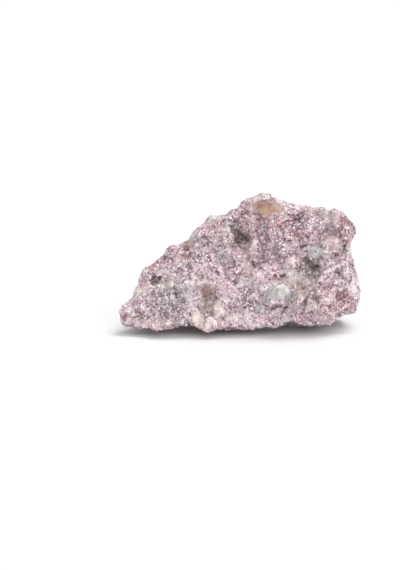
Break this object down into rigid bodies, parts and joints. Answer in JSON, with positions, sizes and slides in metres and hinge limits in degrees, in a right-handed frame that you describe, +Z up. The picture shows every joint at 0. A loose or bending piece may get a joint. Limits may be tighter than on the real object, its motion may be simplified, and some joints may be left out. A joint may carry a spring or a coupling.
{
  "type": "lepidolite rock",
  "caption": "Rough hand specimen of lilac lepidolite mica rock, wedge shaped, with quartz lumps, a tan crystal and a flat resting side.",
  "frame": {"origin": "centre of the bounding box on the floor that the rock rests on", "axes": "+X along the rock from its low tip to its high end, -Y towards the broad broken face, +Z up"},
  "size_m": [0.08, 0.041, 0.0454],
  "materials": {
    "lepidolite": "rough broken face of glittering lilac mica flakes with grey quartz and a tan crystal"
  },
  "bodies": {
    "root": {"rock": "lepidolite"}
  },
  "joints": []
}
